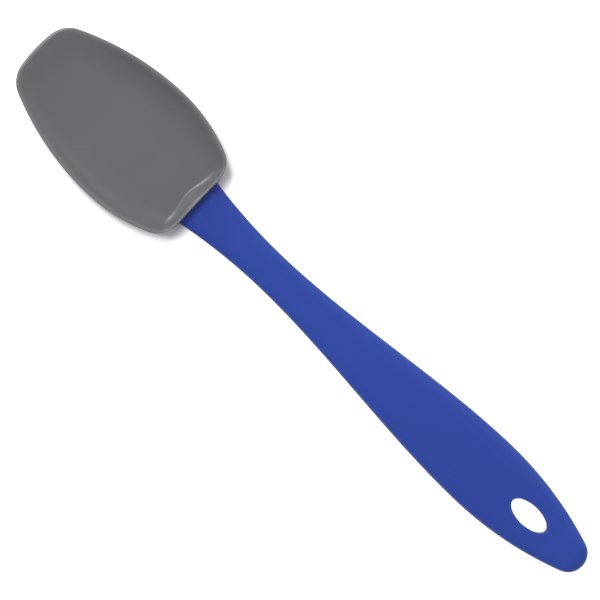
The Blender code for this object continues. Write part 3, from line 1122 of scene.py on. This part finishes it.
    def back_rings(self, points: Array, normals: Array) -> list[Array]:
        """Rings of the back, from the outline in to its spine.

        Args:
            points: Points of the outline.
            normals: Normals there.

        Returns:
            The rings, each as points x 4: depth, side, height and distance from the outline.
        """
        spine = self.spine(points, normals, self.back_spine_from_collar)
        side = points[:len(points) - COLLAR_STEPS]
        curl = [CURL_SHARE * (1 - math.cos(turn)) for turn in spread(0, math.pi / 2, CURL_STEPS)]
        shares = curl + spread(CURL_SHARE, TONGUE_FOOT_SHARE, BELLY_STEPS)
        shares += spread(TONGUE_FOOT_SHARE, 1, TONGUE_STEPS)
        flat = np.full(len(points), MOST_FLAT)
        for _ in range(FLAT_PASSES):
            edge = self.tongue_half_width(spine + (points[:, 0] - spine) * flat)
            flat = np.minimum(edge / np.maximum(points[:, 1], MERGE), MOST_FLAT)
        outs = [1 + (flat - 1) * share for share in shares]
        outs += [flat * inside for inside in [*spread(1, 0, FLAT_STEPS), 0.0]]
        rings = []
        for out in outs:
            depth = spine + (points[:, 0] - spine) * out
            y = points[:, 1] * out
            height = self.back(depth, y, side)
            away = np.hypot(points[:, 0] - depth, points[:, 1] - y)
            rings.append(np.stack([depth, y, height, away], axis=-1))
        return rings

    def build(self, material: Material) -> Object:
        """Build the head's skin with its socket and put it in the scene.

        Args:
            material: Its finish.

        Returns:
            The piece.
        """
        points, normals = self.outline()
        right = np.array(self.bowl_rings(points, normals) + self.back_rings(points, normals))
        left = right[:, -2:0:-1] * np.array([1.0, -1.0, 1.0, 1.0])
        rings = np.concatenate([right, left], axis=1)
        rings[..., 0] = self.joint_x - rings[..., 0]
        mesh = ring_mesh("silicone_head_skin", rings[..., :3], closed=True)
        # Distance from the outline, which the finish reads to paint light along the lip.
        lip = mesh.attributes.new(Trait.LIP.value, "FLOAT", "POINT")
        lip.data.foreach_set("value", rings[..., 3].ravel())
        mesh.materials.append(material)
        tidy(mesh)
        hollow = cut_away(mesh, self.handle.socket(self.fit_gap, self.tang_cover, material))
        tidy(hollow)
        return dress("silicone_head_skin", hollow, Body.HEAD, Node.HEAD)


# Studio


@dataclass(frozen=True)
class SoftBox:
    """Square lamp that shines at the spoon.

    The heading is 0 beyond the tip of the head and grows towards +Y. The share is how much of the light that
    falls on the floor comes from this lamp. The lamps and the world together give 1, at which colours show
    as they are.
    """

    name: str
    heading: float
    elevation: float
    size: float
    share: float
    distance: float = 8.0

    def build(self) -> None:
        """Put the lamp in the scene."""
        away = Vector((-math.cos(self.heading) * math.cos(self.elevation),
                       math.sin(self.heading) * math.cos(self.elevation), math.sin(self.elevation)))
        light = bpy.data.lights.new(self.name, "AREA")
        light.shape = "SQUARE"
        light.size = self.size
        light.energy = (math.pi * self.distance) ** 2 * self.share / away.z
        lamp = link(self.name, light)
        lamp.location = away * self.distance
        lamp.rotation_euler = away.to_track_quat("Z", "Y").to_euler()


KEY = SoftBox("key", heading=math.radians(16), elevation=math.radians(51), size=3.2, share=0.46)
SIDE = SoftBox("side", heading=math.radians(95), elevation=math.radians(34), size=6.0, share=0.08)
TIP = SoftBox("tip", heading=math.radians(-12), elevation=math.radians(22), size=4.4, share=0.03)


@dataclass
class Studio:
    """Camera, lights, floor and background.

    The picture is photo_across wide at the focus height, and the spoon's middle lies right of its own and
    below it. The lifts say how far the floor shines beside the head and round the handle. The first begins
    at an oval round the head, and the second along the spoon.
    """

    photo_across: float = 202.14 * MM
    lens: float = 250.0
    turn: float = math.radians(43.40)
    centre_right: float = 3.0 * MM
    centre_down: float = 2.56 * MM
    focus_height: float = 6.0 * MM
    lamps: tuple[SoftBox, ...] = (KEY, SIDE, TIP)
    floor_colour: float = 0.98
    side_lift: float = 0.60
    tail_lift: float = 0.88
    lift_from: float = -51.0 * MM
    lift_to: float = -45.0 * MM
    oval_x: float = -80.4 * MM
    oval_length: float = 77.0 * MM
    oval_width: float = 46.9 * MM
    oval_from: float = 0.97
    oval_to: float = 1.09
    floor_size: float = 6.0

    def camera(self) -> None:
        """Long lens straight above the spoon, turned as in the photograph."""
        data = bpy.data.cameras.new("camera")
        data.lens = self.lens
        camera = link("camera", data)
        bpy.context.scene.camera = camera
        right = Vector((math.cos(self.turn), math.sin(self.turn), 0.0))
        up = Vector((-math.sin(self.turn), math.cos(self.turn), 0.0))
        middle = (cad_box[0] + cad_box[1]) / 2
        distance = self.photo_across * self.lens / data.sensor_width
        place = -right * self.centre_right + up * self.centre_down
        camera.location = (middle.x + place.x, middle.y + place.y, self.focus_height + distance)
        camera.rotation_euler = (0.0, 0.0, self.turn)

    def world(self) -> None:
        """Even light from all round, with a white background."""
        world = bpy.data.worlds.new("studio")
        world.use_nodes = True
        bpy.context.scene.world = world
        tree = world.node_tree
        seen = self._seen(tree)
        ambient = 1 - sum(lamp.share for lamp in self.lamps)
        strength = seen * (1.0 - ambient) + ambient
        tree.nodes["Background"].inputs["Color"].default_value = (1.0, 1.0, 1.0, 1.0)
        tree.links.new(strength.source, tree.nodes["Background"].inputs["Strength"])

    def floor(self) -> None:
        """Pale floor that the camera sees as white all round the head and the handle.

        It shines where it is seen, but not in an oval under the head, where it keeps the head's shadow.
        """
        half = self.floor_size / 2
        mesh = bpy.data.meshes.new("floor")
        corners = [(-half, -half, 0), (half, -half, 0), (half, half, 0), (-half, half, 0)]
        mesh.from_pydata(corners, [], [(0, 1, 2, 3)])
        material = bpy.data.materials.new("studio_floor")
        material.use_nodes = True
        tree = material.node_tree
        shader = tree.nodes["Principled BSDF"]
        shader.inputs["Base Color"].default_value = (self.floor_colour,) * 3 + (1.0,)
        shader.inputs["Roughness"].default_value = 1.0
        shader.inputs["Specular IOR Level"].default_value = 0.0
        shader.inputs["Emission Color"].default_value = (1.0, 1.0, 1.0, 1.0)
        where = tree.nodes.new("ShaderNodeSeparateXYZ")
        tree.links.new(tree.nodes.new("ShaderNodeTexCoord").outputs["Object"], where.inputs[0])
        x, y = Number(tree, where.outputs["X"]), Number(tree, where.outputs["Y"])
        along = (x - self.lift_from) * (1.0 / (self.lift_to - self.lift_from))
        across = (x - self.oval_x) * (2.0 / self.oval_length)
        out = (across ** 2.0 + (y * (2.0 / self.oval_width)) ** 2.0).root()
        lift = ((out - self.oval_from) * (1.0 / (self.oval_to - self.oval_from))).eased() * self.side_lift
        lift = mix(lift, self.tail_lift, along.eased()) * self._seen(tree)
        tree.links.new(lift.source, shader.inputs["Emission Strength"])
        mesh.materials.append(material)
        link("floor", mesh)

    @staticmethod
    def _seen(tree: NodeTree) -> Number:
        """1 for what the camera, a reflection or clear material sees, and 0 for light that falls.

        Args:
            tree: Tree of the material or the world.

        Returns:
            The number.
        """
        path = tree.nodes.new("ShaderNodeLightPath")
        seen = Number(tree, path.outputs["Is Camera Ray"]) + Number(tree, path.outputs["Is Glossy Ray"])
        return seen.math("ADD", Number(tree, path.outputs["Is Transmission Ray"]), clamp=True)

    def build(self) -> None:
        """Set up the whole studio."""
        bpy.context.scene.view_settings.view_transform = "Standard"
        self.camera()
        for lamp in self.lamps:
            lamp.build()
        self.world()
        self.floor()


def main() -> None:
    """Build the spoon and its studio."""
    logging.basicConfig(level=logging.INFO)
    surface = moulded_surface_group()
    silicone = SILICONE.build(surface)
    plastic = PLASTIC.build(surface)
    handle = Handle.from_frame()
    handle.build(plastic)
    SiliconeHead.from_frame(handle).build(silicone)
    Studio().build()


if __name__ == "__main__":
    main()
